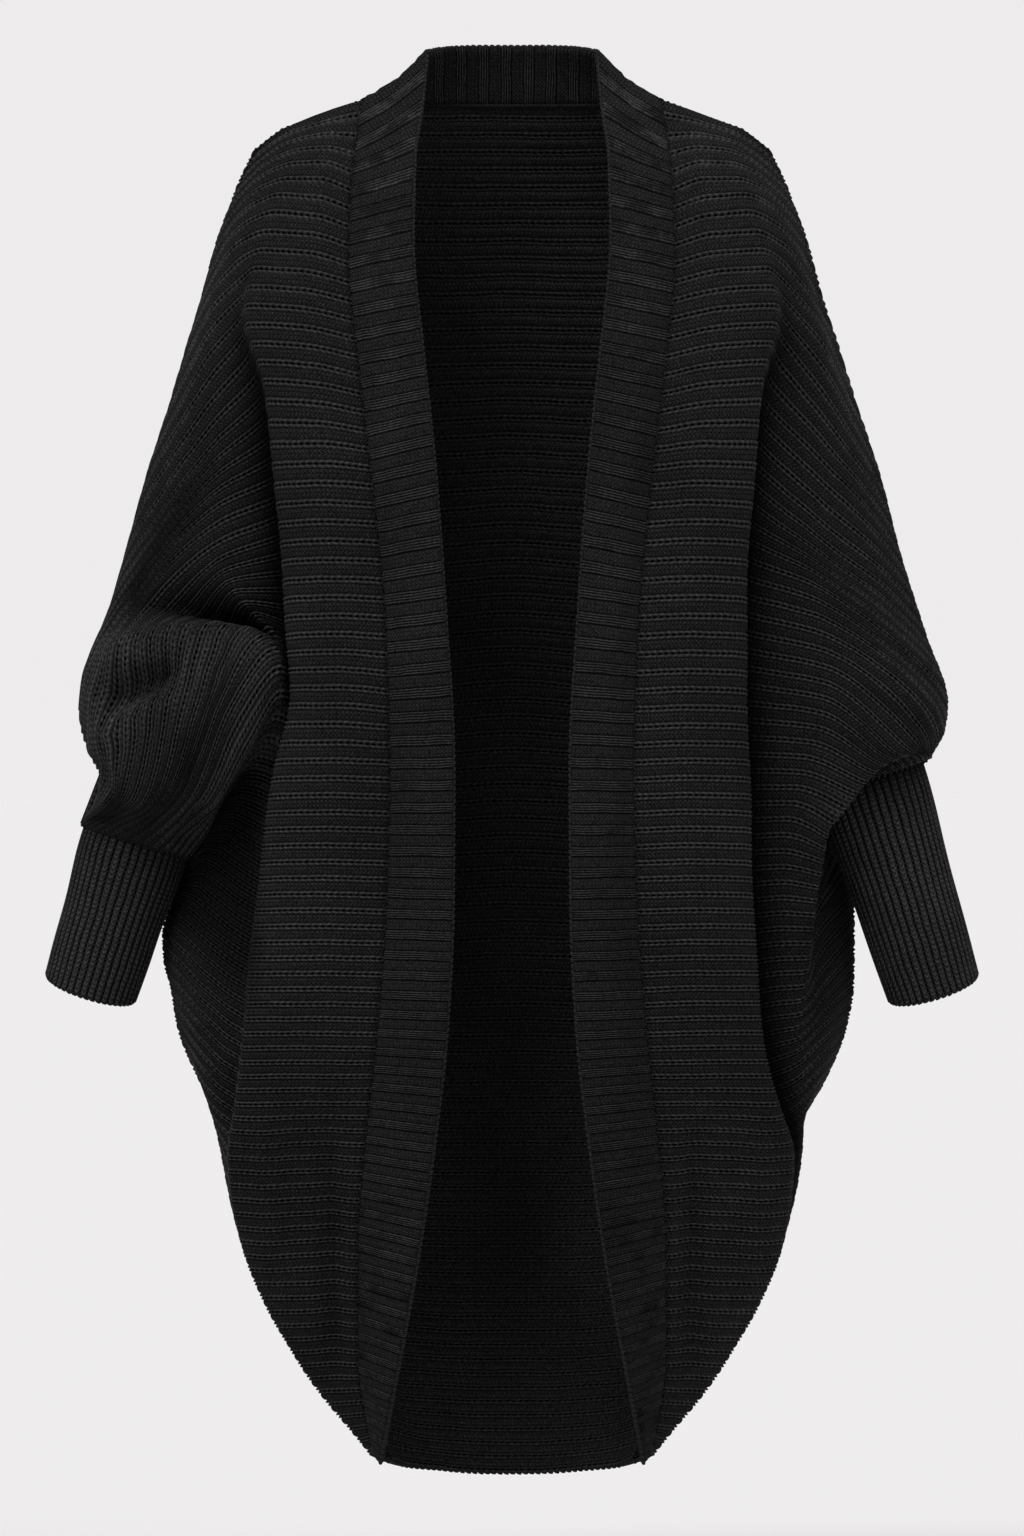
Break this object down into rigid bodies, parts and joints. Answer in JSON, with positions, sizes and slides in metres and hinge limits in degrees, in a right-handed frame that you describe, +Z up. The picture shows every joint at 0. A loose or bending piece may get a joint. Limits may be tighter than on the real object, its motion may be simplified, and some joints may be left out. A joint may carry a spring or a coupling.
{
  "type": "long cardigan",
  "caption": "Long open-front batwing cardigan in chunky sideways rib knit, worn form, cocoon hem, ribbed front band and narrow ribbed forearm sleeves",
  "frame": {"origin": "the middle of the base of the neck, on the line of the shoulders, where the wearer's shoulders carry the garment", "axes": "+Z up, -Y the way the open front faces, +X the wearer's left"},
  "size_m": [0.6548, 0.272, 1.0034],
  "materials": {
    "body_knit": "matt black chunky rib knit, ribs running across the body",
    "sleeve_knit": "matt black rib knit, ribs running along the forearm",
    "band_knit": "matt black rib knit, ribs running across the band"
  },
  "bodies": {
    "root": {"back": "body_knit", "front_left": "body_knit", "front_right": "body_knit", "sleeve_left": "sleeve_knit", "sleeve_right": "sleeve_knit", "front_band_left": "band_knit", "front_band_right": "band_knit", "neck_band": "band_knit"}
  },
  "joints": []
}
